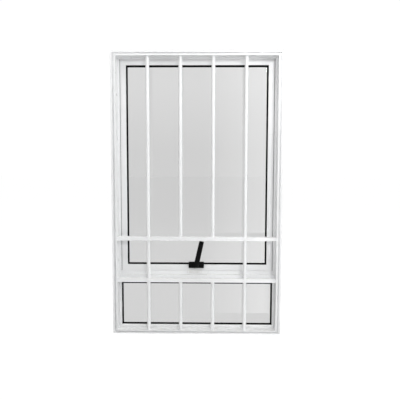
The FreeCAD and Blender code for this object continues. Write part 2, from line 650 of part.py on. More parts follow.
def build_sash_glazing():
    half = f"({SASH_HALF} - {CHANNEL_SIDE} - glass_gap)"
    low = f"({SASH_BOTTOM} + {CHANNEL_BOTTOM} + glass_gap)"
    high = f"({SASH_TOP} - {CHANNEL_SIDE} - glass_gap)"
    keep("sash_glass", block((f"-{half}", half), (at_depth(GLASS_FRONT), at_depth(GLASS_BACK)), (low, high)))
    show = "(glass_leg - glass_gap + gasket_show)"
    keep("sash_inner_gasket", ring(half, low, high, show,
                                   (at_depth(f"{SASH_FRONT} + leg_thick"), at_depth(GLASS_FRONT))))
    bead_front = f"({GLASS_BACK} + outer_gasket_thick)"
    keep("sash_outer_gasket", ring(half, low, high, "(bead_width - glass_gap + wall)",
                                   (at_depth(GLASS_BACK), at_depth(bead_front))))
    y = (at_depth(bead_front), at_depth(SASH_BACK))
    outer = f"({SASH_HALF} - {CHANNEL_SIDE})"
    floor = f"({SASH_BOTTOM} + {CHANNEL_BOTTOM})"
    ceiling = f"({SASH_TOP} - {CHANNEL_SIDE})"
    inner = f"({outer} - bead_width)"
    beads = [block(span(side, inner, outer), y, (floor, ceiling)) for name, side in SIDES]
    beads.append(block((f"-{inner}", inner), y, (floor, f"{floor} + bead_width")))
    beads.append(block((f"-{inner}", inner), y, (f"{ceiling} - bead_width", ceiling)))
    keep("sash_glazing_beads", group(*beads))
    y = (at_depth(GLASS_FRONT), at_depth(GLASS_BACK))
    blocks = [block(span(side, f"{half} / 2", f"{half} / 2 + block_length"), y, (floor, low))
              for name, side in SIDES]
    keep("sash_setting_blocks", group(*blocks))


# ---------------------------------------------------------------- friction stays

def flat_link(side, near, far, low, high, end_radius, holes):
    """A flat bar with round ends in the YZ plane, and a hole at each pivot."""
    x = span(side, near, far)
    middle = block(x, (f"{PIVOT_Y} - {end_radius}", f"{PIVOT_Y} + {end_radius}"), (low, high))
    ends = [turned("x", (PIVOT_Y, height), (*x, end_radius)) for height in (low, high)]
    tools = [turned("x", (PIVOT_Y, height), (f"{x[0]} - wall", f"{x[1]} + wall", radius))
             for height, radius in holes]
    return cut(fused(middle, *ends), *tools)


def build_track(name, side):
    y = (f"{PIVOT_Y} - track_width / 2", f"{PIVOT_Y} + track_width / 2")
    z = (f"{FRAME_PIVOT} - track_foot", f"{TOP_PIVOT} + track_top")
    channel = block(span(side, f"{TRACK_BASE} - track_height", TRACK_BASE), y, z)
    hollow = block(span(side, f"{TRACK_BASE} - track_height - wall", f"{TRACK_BASE} - track_wall"),
                   (f"{y[0]} + track_wall", f"{y[1]} - track_wall"), (f"{z[0]} - wall", f"{z[1]} + wall"))
    base = span(side, f"{TRACK_BASE} - track_height", f"{TRACK_BASE} + wall")
    tools = [turned("x", (PIVOT_Y, height), (*base, "rivet_head_radius + screw_fit"))
             for height in track_rivet_heights()]
    tools.append(turned("x", (PIVOT_Y, FRAME_PIVOT), (*base, "pivot_radius + screw_fit")))
    keep(f"{name}_stay_track", cut(channel, hollow, *tools))


def build_stay(name, side):
    build_track(name, side)
    loose = "pivot_radius + pivot_fit"
    tight = "pivot_radius + screw_fit"
    screws = [(height, "rivet_radius + screw_fit") for height in stay_screw_heights()]
    keep(f"{name}_stay_arm", flat_link(side, ARM_NEAR, ARM_FAR, FRAME_PIVOT, SASH_PIVOT, "stay_width / 2",
                                       [(FRAME_PIVOT, loose), (SASH_PIVOT, loose)]))
    keep(f"{name}_sash_bar", flat_link(side, SASH_HALF, SASH_BAR_FAR, SASH_PIVOT, TOP_PIVOT, "stay_width / 2",
                                       [(SASH_PIVOT, tight), (TOP_PIVOT, tight)] + screws))
    slide = "(track_width / 2 - track_wall - pivot_fit)"
    shoe = block(span(side, SHOE_NEAR, SHOE_FAR), (f"{PIVOT_Y} - {slide}", f"{PIVOT_Y} + {slide}"),
                 (f"{TOP_PIVOT} - shoe_length / 2", f"{TOP_PIVOT} + shoe_length / 2"))
    bore = turned("x", (PIVOT_Y, TOP_PIVOT),
                  (*span(side, f"{SHOE_NEAR} - wall", f"{SHOE_FAR} + wall"), loose))
    keep(f"{name}_stay_shoe", cut(shoe, bore))
    collar = (*span(side, f"{SASH_BAR_FAR}", f"{ARM_NEAR} - pivot_fit"), "collar_radius")
    head = (*span(side, f"{ARM_FAR} + pivot_fit", f"{ARM_FAR} + pivot_fit * 2 + wall"), "collar_radius")
    sash_pin = turned("x", (PIVOT_Y, SASH_PIVOT),
                      (*span(side, SASH_HALF, f"{ARM_FAR} + pivot_fit"), "pivot_radius"), collar, head)
    top_pin = turned("x", (PIVOT_Y, TOP_PIVOT),
                     (*span(side, SASH_HALF, f"{SHOE_FAR} - wall"), "pivot_radius"),
                     (*span(side, f"{SASH_BAR_FAR}", f"{SHOE_NEAR} - pivot_fit"), "collar_radius"))
    keep(f"{name}_sash_pins", group(sash_pin, top_pin))
    frame_pin = turned("x", (PIVOT_Y, FRAME_PIVOT),
                       (*span(side, f"{ARM_NEAR} - pivot_fit", TRACK_BASE), "pivot_radius"),
                       (*span(side, f"{ARM_NEAR} - pivot_fit - wall", f"{ARM_NEAR} - pivot_fit"),
                        "collar_radius"),
                       (*span(side, f"{ARM_FAR} + pivot_fit", f"{TRACK_BASE} - track_wall"), "collar_radius"))
    keep(f"{name}_frame_pin", frame_pin)


def build_stay_rivets():
    track_rivets, bar_screws = [], []
    for name, side in SIDES:
        for height in track_rivet_heights():
            head = span(side, f"{TRACK_BASE} - track_wall", TRACK_BASE)
            shank = span(side, TRACK_BASE, HALF)
            track_rivets.append(turned("x", (PIVOT_Y, height), (*head, "rivet_head_radius"),
                                       (*shank, "rivet_radius")))
        for height in stay_screw_heights():
            head = span(side, SASH_BAR_FAR, f"{SASH_BAR_FAR} + rivet_head_height")
            shank = span(side, f"{SASH_HALF} - wall * 2", SASH_BAR_FAR)
            bar_screws.append(turned("x", (PIVOT_Y, height), (*head, "rivet_head_radius"),
                                     (*shank, "rivet_radius")))
    keep("stay_track_rivets", group(*track_rivets))
    keep("sash_bar_screws", group(*bar_screws))


# ---------------------------------------------------------------- handle

def base_screw_offsets():
    return ("handle_shift - base_screw_offset", "handle_shift + base_screw_offset")


def base_screw_height():
    """Low enough on the base to enter the bottom rail's chamber."""
    return f"({HANDLE_HEIGHT} - base_height / 4)"


def rounded(thing, radius, edges):
    """Fillets on the edges whose numbers are given, with the radius tied to its cell."""
    fillet = doc.addObject("Part::Fillet", "rounded")
    fillet.Base = thing
    doc.recompute()
    fillet.Edges = [(number, value(radius), value(radius)) for number in edges]
    return fillet


def build_base():
    x = ("handle_shift - base_width / 2", "handle_shift + base_width / 2")
    z = (f"{HANDLE_HEIGHT} - base_height / 2", f"{HANDLE_HEIGHT} + base_height / 2")
    plate = block(x, (at_depth(BASE_FRONT), at_depth(SASH_FRONT)), z)
    doc.recompute()
    room_side = value(at_depth(BASE_FRONT))
    front = [number for number, edge in enumerate(plate.Shape.Edges, start=1)
             if edge.BoundBox.YMin < room_side + 0.01]
    y = (at_depth(f"{BASE_FRONT} - wall"), at_depth(f"{SASH_FRONT} + wall"))
    tools = [turned("y", ("handle_shift", HANDLE_HEIGHT), (*y, "spindle_radius + pivot_fit"))]
    sunk = (y[0], at_depth(f"{BASE_FRONT} + screw_head_height"), "screw_head_radius + screw_fit")
    for offset in base_screw_offsets():
        tools.append(turned("y", (offset, base_screw_height()), (*y, "screw_radius + screw_fit"), sunk))
    keep("handle_base", cut(rounded(plate, "base_round", front), *tools))


def build_handle():
    """The lever is drawn upright about the spindle and tilted; the tongue points to the right."""
    hub = turned("y", ("0", "0"), ("-hub_length", "-tongue_thick", "hub_radius"))
    lever_y = ("-hub_length", "lever_thick - hub_length")
    taper = extruded("y", [[("-lever_width / 2", "0"), ("lever_width / 2", "0"),
                            ("lever_tip_width / 2", "lever_length"),
                            ("-lever_tip_width / 2", "lever_length")]],
                     *lever_y)
    doc.recompute()
    long_edges = [number for number, edge in enumerate(taper.Shape.Edges, start=1)
                  if edge.BoundBox.ZMax > value("lever_length") - 0.01]
    bore = turned("y", ("0", "0"), ("-hub_length - wall", "wall", "spindle_radius + screw_fit"))
    lever = cut(fused(hub, rounded(taper, "lever_round", long_edges)), bore)
    tongue = cut(fused(block(("0", "tongue_reach"), ("-tongue_thick", "0"),
                             ("-tongue_width / 2", "tongue_width / 2")),
                       turned("y", ("0", "0"), ("-tongue_thick", "0", "hub_radius"))),
                 turned("y", ("0", "0"), ("-tongue_thick - wall", "wall", "spindle_radius + screw_fit")))
    for name, thing, tilt in (("handle_lever", lever, "handle_tilt"), ("cam_tongue", tongue, "0")):
        bind(thing, "Placement.Base.x", "handle_shift")
        bind(thing, "Placement.Base.y", at_depth(HUB_BACK))
        bind(thing, "Placement.Base.z", HANDLE_HEIGHT)
        thing.Placement.Rotation = FreeCAD.Rotation(FreeCAD.Vector(0, 1, 0), value(tilt))
        keep(name, thing)
    hub_front = at_depth(f"{HUB_BACK} - hub_length")
    keep("handle_spindle", turned("y", ("handle_shift", HANDLE_HEIGHT),
                                  (hub_front, at_depth(f"{SASH_FRONT} - pivot_fit"), "spindle_radius"),
                                  (f"{hub_front} - wall", hub_front, "collar_radius")))


def build_handle_screws():
    screws = []
    for offset in base_screw_offsets():
        seat = at_depth(f"{BASE_FRONT} + screw_head_height")
        screws.append(turned("y", (offset, base_screw_height()),
                             (at_depth(BASE_FRONT), seat, "screw_head_radius"),
                             (seat, at_depth(f"{SASH_FRONT} + leg_thick + wall"), "screw_radius")))
    keep("handle_screws", group(*screws))


def build_keeper():
    """A cap over the transom's stop fin that the cam tongue bears on."""
    x = ("keeper_shift - keeper_width / 2", "keeper_shift + keeper_width / 2")
    z = (f"{TRANSOM_FIN_TOP} - keeper_drop", f"{TRANSOM_FIN_TOP} + keeper_cap")
    cap = block(x, (at_depth("stop_depth - keeper_front"), at_depth(f"{STOP_BACK} + wall")), z)
    slot = block((f"{x[0]} - wall", f"{x[1]} + wall"),
                 (at_depth("stop_depth - keeper_fit"), at_depth(f"{STOP_BACK} + seal_gap")),
                 (f"{z[0]} - wall", TRANSOM_FIN_TOP))
    pilots = [turned("y", (offset, f"{TRANSOM_FIN_TOP} - keeper_drop / 2"),
                     (at_depth("stop_depth - keeper_front - wall"), at_depth(f"{STOP_BACK} + wall"),
                      "rivet_radius + screw_fit")) for offset in keeper_rivet_offsets()]
    keep("keeper", cut(cap, slot, *pilots))
    rivets = []
    for offset in keeper_rivet_offsets():
        face = "stop_depth - keeper_front"
        rivets.append(turned("y", (offset, f"{TRANSOM_FIN_TOP} - keeper_drop / 2"),
                             (at_depth(f"{face} - rivet_head_height"), at_depth(face), "rivet_head_radius"),
                             (at_depth(face), at_depth("stop_depth - keeper_fit"), "rivet_radius")))
    keep("keeper_rivets", group(*rivets))


def keeper_rivet_offsets():
    return ("keeper_shift - keeper_width * 2 / 5", "keeper_shift + keeper_width * 2 / 5")


# ---------------------------------------------------------------- the whole window

build_head()
build_sill()
for name, side in SIDES:
    build_jamb(name, side)
build_transom()
build_frame_cleats()
build_seal()
build_fixed_light()
for name, height in RAILS:
    build_rail(name, height)
build_bars()
build_grille_fasteners()
build_sash_frame()
build_sash_cleats()
build_sash_glazing()
for name, side in SIDES:
    build_stay(name, side)
build_stay_rivets()
build_base()
build_handle()
build_handle_screws()
build_keeper()
doc.recompute()

for thing in doc.Objects:
    if "Invalid" in thing.State or "Error" in thing.State:
        raise RuntimeError(f"{thing.Label} did not build: {thing.State}")
for name, thing in nodes.items():
    if thing.Shape.isNull() or not thing.Shape.isValid() or not thing.Shape.Solids:
        raise RuntimeError(f"{name} has no valid shape")

os.makedirs("parts", exist_ok=True)
for name, thing in nodes.items():
    thing.Shape.exportStep(f"parts/{name}.step")
    print(f"{name}: {len(thing.Shape.Solids)} solid(s), {thing.Shape.Volume:.0f} mm3")
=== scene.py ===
"""A top-hung projecting window over a fixed light, with a grille of round bars built into its frame.

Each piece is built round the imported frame, in metres, and rides on the body that carries it.
"""
import json
import math

import bmesh
import bpy
from mathutils import Matrix, Vector

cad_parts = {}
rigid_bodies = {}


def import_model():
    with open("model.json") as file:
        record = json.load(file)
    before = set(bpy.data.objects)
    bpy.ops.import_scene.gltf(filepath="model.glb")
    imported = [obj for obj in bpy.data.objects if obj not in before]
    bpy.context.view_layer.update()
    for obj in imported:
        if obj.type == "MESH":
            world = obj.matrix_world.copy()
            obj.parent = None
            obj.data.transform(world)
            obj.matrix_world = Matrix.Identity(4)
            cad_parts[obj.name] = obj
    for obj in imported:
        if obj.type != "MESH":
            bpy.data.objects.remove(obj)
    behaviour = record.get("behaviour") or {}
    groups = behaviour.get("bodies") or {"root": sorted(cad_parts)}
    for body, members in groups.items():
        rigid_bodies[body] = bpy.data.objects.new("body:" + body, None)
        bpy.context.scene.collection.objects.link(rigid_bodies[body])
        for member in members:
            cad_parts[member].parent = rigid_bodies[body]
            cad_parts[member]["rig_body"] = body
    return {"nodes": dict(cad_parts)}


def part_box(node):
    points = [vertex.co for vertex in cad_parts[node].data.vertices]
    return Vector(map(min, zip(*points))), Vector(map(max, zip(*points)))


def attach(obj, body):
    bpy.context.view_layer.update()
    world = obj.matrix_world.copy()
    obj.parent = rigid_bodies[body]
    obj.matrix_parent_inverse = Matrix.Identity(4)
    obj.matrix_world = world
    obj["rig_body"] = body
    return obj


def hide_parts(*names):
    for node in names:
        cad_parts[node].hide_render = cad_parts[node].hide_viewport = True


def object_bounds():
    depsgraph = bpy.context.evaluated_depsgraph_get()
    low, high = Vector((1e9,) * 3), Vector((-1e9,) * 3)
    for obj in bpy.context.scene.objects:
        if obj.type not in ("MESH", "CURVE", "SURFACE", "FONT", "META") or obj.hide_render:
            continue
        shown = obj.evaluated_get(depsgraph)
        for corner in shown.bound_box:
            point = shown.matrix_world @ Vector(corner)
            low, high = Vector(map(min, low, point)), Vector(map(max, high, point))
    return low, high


bl_info = {
    "name": "Barred projecting window",
    "version": (1, 0, 0),
    "blender": (4, 5, 0),
    "location": "3D View > Sidebar > Barred window",
    "description": "Builds a top-hung projecting window with its grille, stays, handle and glazing",
    "category": "Object",
}

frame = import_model()
cad_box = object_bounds()

WELD_GAP = 1e-6
FLAT_ANGLE = math.radians(1)
EASED_ANGLE = math.radians(25)
SHARP_ANGLE = math.radians(40)
ROUND_FACETS = 48
SIDES = ("left", "right")
Y = Vector((0, 1, 0))
Z = Vector((0, 0, 1))
TOWARDS_ROOM = -Y


# ---------------------------------------------------------------- settings

class WindowSizes(bpy.types.PropertyGroup):
    """Small sizes that finish the pieces: edge radii, lips, heads and recesses."""

    coat_edge: bpy.props.FloatProperty(
        name="Coated edge", description="Radius of the coated members' edges",
        default=0.0004, min=0, unit="LENGTH")
    metal_edge: bpy.props.FloatProperty(
        name="Pressed edge", description="Edge radius of the stays, the tongue and the keeper's rivets",
        default=0.0003, min=0, unit="LENGTH")
    moulded_edge: bpy.props.FloatProperty(
        name="Moulded edge", description="Radius of the nylon pieces' edges",
        default=0.0006, min=0, unit="LENGTH")
    glass_arris: bpy.props.FloatProperty(
        name="Glass arris", description="Width of the ground arris round each pane",
        default=0.0003, min=0, unit="LENGTH")
    mitre_gap: bpy.props.FloatProperty(
        name="Mitre gap", description="Opening between two glazing beads at a corner",
        default=0.0002, min=0, unit="LENGTH")
    seal_show: bpy.props.FloatProperty(
        name="Seal in view", description="How far the sash's seal reaches past the fins at the sides",
        default=0.0013, min=0, unit="LENGTH")
    fixed_lip_drop: bpy.props.FloatProperty(
        name="Top lip drop", description="How much lower the fixed light's top gasket reaches",
        default=0.0025, min=0, unit="LENGTH")
    sash_lip_drop: bpy.props.FloatProperty(
        name="Sash lip drop", description="How much lower the sash's top gasket reaches",
        default=0.0009, min=0, unit="LENGTH")
    lever_width: bpy.props.FloatProperty(
        name="Lever width", description="Width of the handle's lever beside its hub",
        default=0.0188, min=0.004, unit="LENGTH")
    lever_tip_width: bpy.props.FloatProperty(
        name="Lever tip width", description="Width of the handle's lever at its tip",
        default=0.0172, min=0.004, unit="LENGTH")
    lever_length: bpy.props.FloatProperty(
        name="Lever length", description="From the middle of the handle's hub to the lever's tip",
        default=0.091, min=0.02, unit="LENGTH")
    casting_grain: bpy.props.FloatProperty(
        name="Casting grain", description="Size of the grid that the cast lever is blended on",
        default=0.0006, min=0.0002, unit="LENGTH")
    cast_edge: bpy.props.FloatProperty(
        name="Cast edge", description="Radius of the handle base's edges",
        default=0.0011, min=0, unit="LENGTH")
    lever_lean: bpy.props.FloatProperty(
        name="Lever lean", description="How far the lever leans over when the latch is open",
        default=math.radians(12.5), unit="ROTATION")


class WindowFinishes(bpy.types.PropertyGroup):
    """Colours of the window's finishes."""

    white_coat: bpy.props.FloatVectorProperty(
        name="White coat", description="Powder coat of the frame, the sash and the grille",
        subtype="COLOR", size=3, min=0, max=1, default=(0.83, 0.835, 0.84))
    glass: bpy.props.FloatVectorProperty(
        name="Glass", description="Tint of a pane seen square on",
        subtype="COLOR", size=3, min=0, max=1, default=(0.722, 0.722, 0.722))
    rubber: bpy.props.FloatVectorProperty(
        name="Rubber", description="Glazing gaskets and the sash's seal",
        subtype="COLOR", size=3, min=0, max=1, default=(0.002, 0.002, 0.0021))
    black_coat: bpy.props.FloatVectorProperty(
        name="Black coat", description="Coat of the die-cast handle and its screws",
        subtype="COLOR", size=3, min=0, max=1, default=(0.002, 0.002, 0.0021))
    black_nylon: bpy.props.FloatVectorProperty(
        name="Black nylon", description="Glazing blocks",
        subtype="COLOR", size=3, min=0, max=1, default=(0.01, 0.01, 0.0105))
    white_nylon: bpy.props.FloatVectorProperty(
        name="White nylon", description="Keeper, stay shoes and rail plugs",
        subtype="COLOR", size=3, min=0, max=1, default=(0.76, 0.76, 0.75))
    aluminium: bpy.props.FloatVectorProperty(
        name="Aluminium", description="Uncoated corner cleats",
        subtype="COLOR", size=3, min=0, max=1, default=(0.70, 0.71, 0.72))
    stainless: bpy.props.FloatVectorProperty(
        name="Stainless steel", description="Friction stays and their pins",
        subtype="COLOR", size=3, min=0, max=1, default=(0.55, 0.55, 0.54))
    zinc: bpy.props.FloatVectorProperty(
        name="Zinc", description="Plated screws and rivets",
        subtype="COLOR", size=3, min=0, max=1, default=(0.60, 0.61, 0.62))


class WindowStage(bpy.types.PropertyGroup):
    """The floor, the lights and the camera."""

    camera_place: bpy.props.FloatVectorProperty(
        name="Camera place", description="Where the camera stands",
        subtype="TRANSLATION", unit="LENGTH", default=(0.043, -1.798, 0.631))
    camera_turn: bpy.props.FloatVectorProperty(
        name="Camera turn", description="Which way the camera looks",
        subtype="EULER", default=(math.radians(85.2), math.radians(-0.105), math.radians(1.022)))
    camera_lens: bpy.props.FloatProperty(
        name="Lens", description="Focal length of the camera",
        default=45, unit="CAMERA")
    key_power: bpy.props.FloatProperty(
        name="Key light", description="Power of the key light, high on the right",
        default=20, min=0, unit="POWER")
    top_power: bpy.props.FloatProperty(
        name="Top light", description="Power of the broad light overhead",
        default=28.5, min=0, unit="POWER")
    right_power: bpy.props.FloatProperty(
        name="Right light", description="Power of the broad light on the right",
        default=20, min=0, unit="POWER")
    left_power: bpy.props.FloatProperty(
        name="Left light", description="Power of the broad light on the left",
        default=10.5, min=0, unit="POWER")
    back_power: bpy.props.FloatProperty(
        name="Back light", description="Power of the broad light behind the window",
        default=12, min=0, unit="POWER")
    room_light: bpy.props.FloatProperty(
        name="Room light", description="Brightness of the studio all round",
        default=0.03, min=0)
    floor_glow: bpy.props.FloatProperty(
        name="Floor glow", description="Light that the pale floor gives off",
        default=1, min=0)
    panel_glow: bpy.props.FloatProperty(
        name="Panel glow", description="Brightness of the soft panel that the glass and the gloss mirror",
        default=3, min=0)


def sizes():
    return bpy.context.scene.barred_window_sizes


def finishes():
    return bpy.context.scene.barred_window_finishes


def stage():
    return bpy.context.scene.barred_window_stage


# ---------------------------------------------------------------- finishes

class Finish:
    """A material while it is made: its shader, and short calls for the layers that feed it."""

    def __init__(self, name):
        self.material = bpy.data.materials.new(name)
        self.material.use_nodes = True
        self.tree = self.material.node_tree
        self.shader = self.tree.nodes["Principled BSDF"]
        self.coordinates = self.tree.nodes.new("ShaderNodeTexCoord")

    def link(self, source, target):
        self.tree.links.new(source, target)

    def feed(self, socket, source):
        self.link(source, self.shader.inputs[socket])

    def set(self, socket, value):
        self.shader.inputs[socket].default_value = value

    def place(self, stretch=(1, 1, 1)):
        mapping = self.tree.nodes.new("ShaderNodeMapping")
        mapping.inputs["Scale"].default_value = stretch
        self.link(self.coordinates.outputs["Object"], mapping.inputs["Vector"])
        return mapping.outputs["Vector"]

    def noise(self, scale, detail=2.0, stretch=(1, 1, 1)):
        noise = self.tree.nodes.new("ShaderNodeTexNoise")
        noise.inputs["Scale"].default_value = scale
        noise.inputs["Detail"].default_value = detail
        self.link(self.place(stretch), noise.inputs["Vector"])
        return noise.outputs["Fac"]

    def cells(self, scale):
        cells = self.tree.nodes.new("ShaderNodeTexVoronoi")
        cells.inputs["Scale"].default_value = scale
        self.link(self.place(), cells.inputs["Vector"])
        return cells.outputs["Distance"]

    def spread(self, source, start, end, low=0.3, high=0.7):
        spread = self.tree.nodes.new("ShaderNodeMapRange")
        for socket, value in (("From Min", low), ("From Max", high), ("To Min", start), ("To Max", end)):
            spread.inputs[socket].default_value = value
        self.link(source, spread.inputs["Value"])
        return spread.outputs["Result"]

    def times(self, first, second):
        product = self.tree.nodes.new("ShaderNodeMath")
        product.operation = "MULTIPLY"
        self.link(first, product.inputs[0])
        self.link(second, product.inputs[1])
        return product.outputs["Value"]

    def facing_up(self):
        """How far the surface faces up, as the piece stands in the window."""
        parts = self.tree.nodes.new("ShaderNodeSeparateXYZ")
        self.link(self.coordinates.outputs["Normal"], parts.inputs["Vector"])
        return self.spread(parts.outputs["Z"], 0, 1, 0.6, 0.95)

    def blend(self, factor, first, second):
        """Goes from the first colour to the second. Either may be an earlier layer."""
        mix = self.tree.nodes.new("ShaderNodeMix")
        mix.data_type = "RGBA"
        self.link(factor, mix.inputs["Factor"])
        for socket, colour in ((mix.inputs[6], first), (mix.inputs[7], second)):
            if isinstance(colour, bpy.types.NodeSocket):
                self.link(colour, socket)
            else:
                socket.default_value = (*colour, 1)
        return mix.outputs[2]

    def bump(self, height, depth, under=None):
        bump = self.tree.nodes.new("ShaderNodeBump")
        bump.inputs["Distance"].default_value = depth
        self.link(height, bump.inputs["Height"])
        if under is not None:
            self.link(under, bump.inputs["Normal"])
        return bump.outputs["Normal"]


def shade(colour, share):
    return tuple(min(1.0, part * share) for part in colour)


def white_coat():
    """Semi-gloss powder coat: orange peel, a little unevenness and a film of dust on top faces."""
    made = Finish("white_powder_coat")
    base = tuple(finishes().white_coat)
    tone = made.blend(made.spread(made.noise(7, 4), 0, 1), shade(base, 0.965), shade(base, 1.025))
    specks = made.spread(made.noise(700, 1), 0, 1, 0.66, 0.74)
    tone = made.blend(specks, tone, shade(base, 0.93))
    dust = made.times(made.facing_up(), made.spread(made.noise(90, 6), 0, 0.55, 0.42, 0.72))
    made.feed("Base Color", made.blend(dust, tone, (0.66, 0.645, 0.61)))
    made.feed("Roughness", made.spread(made.noise(45, 5), 0.27, 0.42))
    peel = made.bump(made.noise(950, 2), 0.00003)
    made.feed("Normal", made.bump(made.noise(60, 3), 0.00008, peel))
    made.set("IOR", 1.5)
    return made.material


def window_glass():
    """Float glass with a faint wave, wiped smears, and light let through to what stands behind."""
    made = Finish("clear_float_glass")
    base = tuple(finishes().glass)
    film = made.spread(made.noise(9, 6, (1, 1, 0.35)), 0, 1, 0.45, 0.75)
    made.feed("Base Color", made.blend(film, base, shade(base, 0.985)))
    made.feed("Roughness", made.spread(made.noise(16, 6, (1, 1, 0.4)), 0.0, 0.03, 0.5, 0.75))
    made.feed("Normal", made.bump(made.noise(5, 1), 0.0001))
    made.set("Transmission Weight", 1.0)
    made.set("IOR", 1.48)
    through = made.tree.nodes.new("ShaderNodeBsdfTransparent")
    through.inputs["Color"].default_value = (0.8, 0.8, 0.8, 1)
    path = made.tree.nodes.new("ShaderNodeLightPath")
    mix = made.tree.nodes.new("ShaderNodeMixShader")
    made.link(path.outputs["Is Shadow Ray"], mix.inputs["Fac"])
    made.link(made.shader.outputs["BSDF"], mix.inputs[1])
    made.link(through.outputs["BSDF"], mix.inputs[2])
    made.link(mix.outputs["Shader"], made.tree.nodes["Material Output"].inputs["Surface"])
    return made.material


def gasket_rubber():
    """Matt rubber with a fine extruded grain and a chalky bloom."""
    made = Finish("gasket_rubber")
    base = tuple(finishes().rubber)
    bloom = made.spread(made.noise(120, 6), 0, 1, 0.45, 0.8)
    made.feed("Base Color", made.blend(bloom, base, shade(base, 2.6)))
    made.feed("Roughness", made.spread(made.noise(300, 3), 0.5, 0.72))
    made.feed("Normal", made.bump(made.noise(1800, 2), 0.00004))
    made.set("Specular IOR Level", 0.05)
    return made.material


def metal(name, colour, roughness, streaks, scratches):
    """Bare metal with rolling streaks, mottling and fine scratches."""
    made = Finish(name)
    made.set("Metallic", 1.0)
    mottle = made.spread(made.noise(55, 5), 0, 1)
    made.feed("Base Color", made.blend(mottle, shade(colour, 0.86), shade(colour, 1.06)))
    made.feed("Roughness", made.spread(made.noise(220, 4, streaks), roughness * 0.75, roughness * 1.3))
    rolled = made.bump(made.noise(900, 3, streaks), scratches)
    made.feed("Normal", made.bump(made.noise(2600, 1), scratches * 0.4, rolled))
    return made.material


def mill_aluminium():
    return metal("mill_aluminium", tuple(finishes().aluminium), 0.42, (1, 0.06, 1), 0.00003)


def brushed_stainless():
    return metal("brushed_stainless", tuple(finishes().stainless), 0.3, (1, 1, 0.03), 0.00002)


def zinc_plate():
    return metal("zinc_plate", tuple(finishes().zinc), 0.36, (1, 1, 1), 0.00002)


def black_coat():
    """Fine-textured black coat, rubbed slightly smoother and greyer in places."""
    made = Finish("black_textured_coat")
    base = tuple(finishes().black_coat)
    rub = made.spread(made.noise(150, 5), 0, 1, 0.5, 0.8)
    made.feed("Base Color", made.blend(rub, base, shade(base, 2.2)))
    made.feed("Roughness", made.spread(made.noise(90, 4), 0.3, 0.46))
    made.set("Specular IOR Level", 0.1)
    grain = made.bump(made.cells(1500), 0.00005)
    made.feed("Normal", made.bump(made.noise(2500, 2), 0.00003, grain))
    return made.material


def nylon(name, colour, roughness):
    """Moulded nylon with a faint flow pattern and a spark-eroded grain."""
    made = Finish(name)
    flow = made.spread(made.noise(40, 3, (1, 1, 0.3)), 0, 1)
    made.feed("Base Color", made.blend(flow, shade(colour, 0.93), shade(colour, 1.05)))
    made.feed("Roughness", made.spread(made.noise(110, 3), roughness * 0.85, roughness * 1.15))
    made.feed("Normal", made.bump(made.noise(1600, 2), 0.00004))
    return made.material


def black_nylon():
    return nylon("black_nylon", tuple(finishes().black_nylon), 0.45)


def white_nylon():
    return nylon("white_nylon", tuple(finishes().white_nylon), 0.4)


FINISH_MAKERS = {
    "white_coated_aluminium": white_coat,
    "clear_glass": window_glass,
    "black_gasket": gasket_rubber,
    "raw_aluminium": mill_aluminium,
    "stainless_steel": brushed_stainless,
    "zinc_screw": zinc_plate,
    "black_coated_metal": black_coat,
    "black_nylon": black_nylon,
    "white_nylon": white_nylon,
}
made_finishes = {}


def finish(slot):
    if slot not in made_finishes:
        made_finishes[slot] = FINISH_MAKERS[slot]()
    return made_finishes[slot]


# ---------------------------------------------------------------- making pieces

def welded(node):
    """The CAD node's surface with its corners welded and its flat areas joined up."""
    form = bmesh.new()
    form.from_mesh(frame["nodes"][node].data)
    bmesh.ops.remove_doubles(form, verts=form.verts, dist=WELD_GAP)
    bmesh.ops.dissolve_limit(form, angle_limit=FLAT_ANGLE, verts=form.verts, edges=form.edges)
    return form


def piece_from(form, title):
    mesh = bpy.data.meshes.new(title)
    form.to_mesh(mesh)
    form.free()
    mesh.shade_smooth()
    mesh.set_sharp_from_angle(angle=SHARP_ANGLE)
    piece = bpy.data.objects.new(title, mesh)
    bpy.context.scene.collection.objects.link(piece)
    return piece


def even_normals(piece):
    """Keeps the flat faces flat beside their eased edges."""
    modifier = piece.modifiers.new("even_normals", "WEIGHTED_NORMAL")
    modifier.keep_sharp = True


def settled(piece):
    """Turns the piece's modifiers into its mesh."""
    bpy.context.view_layer.update()
    graph = bpy.context.evaluated_depsgraph_get()
    mesh = bpy.data.meshes.new_from_object(piece.evaluated_get(graph))
    piece.modifiers.clear()
    piece.data = mesh


def fit(piece, slot, *nodes):
    """Puts a piece on the body of the CAD nodes that it stands for."""
    piece.data.materials.clear()
    piece.data.materials.append(finish(slot))
    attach(piece, frame["nodes"][nodes[0]]["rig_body"])
    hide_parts(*nodes)
    return piece


def eased(node, title, slot, radius):
    """The CAD node with its sharp edges rounded over."""
    form = welded(node)
    sharp = [edge for edge in form.edges if edge.is_manifold and edge.calc_face_angle() > EASED_ANGLE]
    bmesh.ops.bevel(form, geom=sharp, offset=radius, offset_type="OFFSET", segments=2, profile=0.5,
                    affect="EDGES", clamp_overlap=True)
    piece = piece_from(form, title)
    even_normals(piece)
    return fit(piece, slot, node)


def finish_node(node, slot):
    """A CAD node whose shape is right keeps it, and gets its finish."""
    mesh = frame["nodes"][node].data
    mesh.materials.clear()
    mesh.materials.append(finish(slot))


def levels(node, axis):
    return sorted({round(corner.co[axis], 5) for corner in frame["nodes"][node].data.vertices})


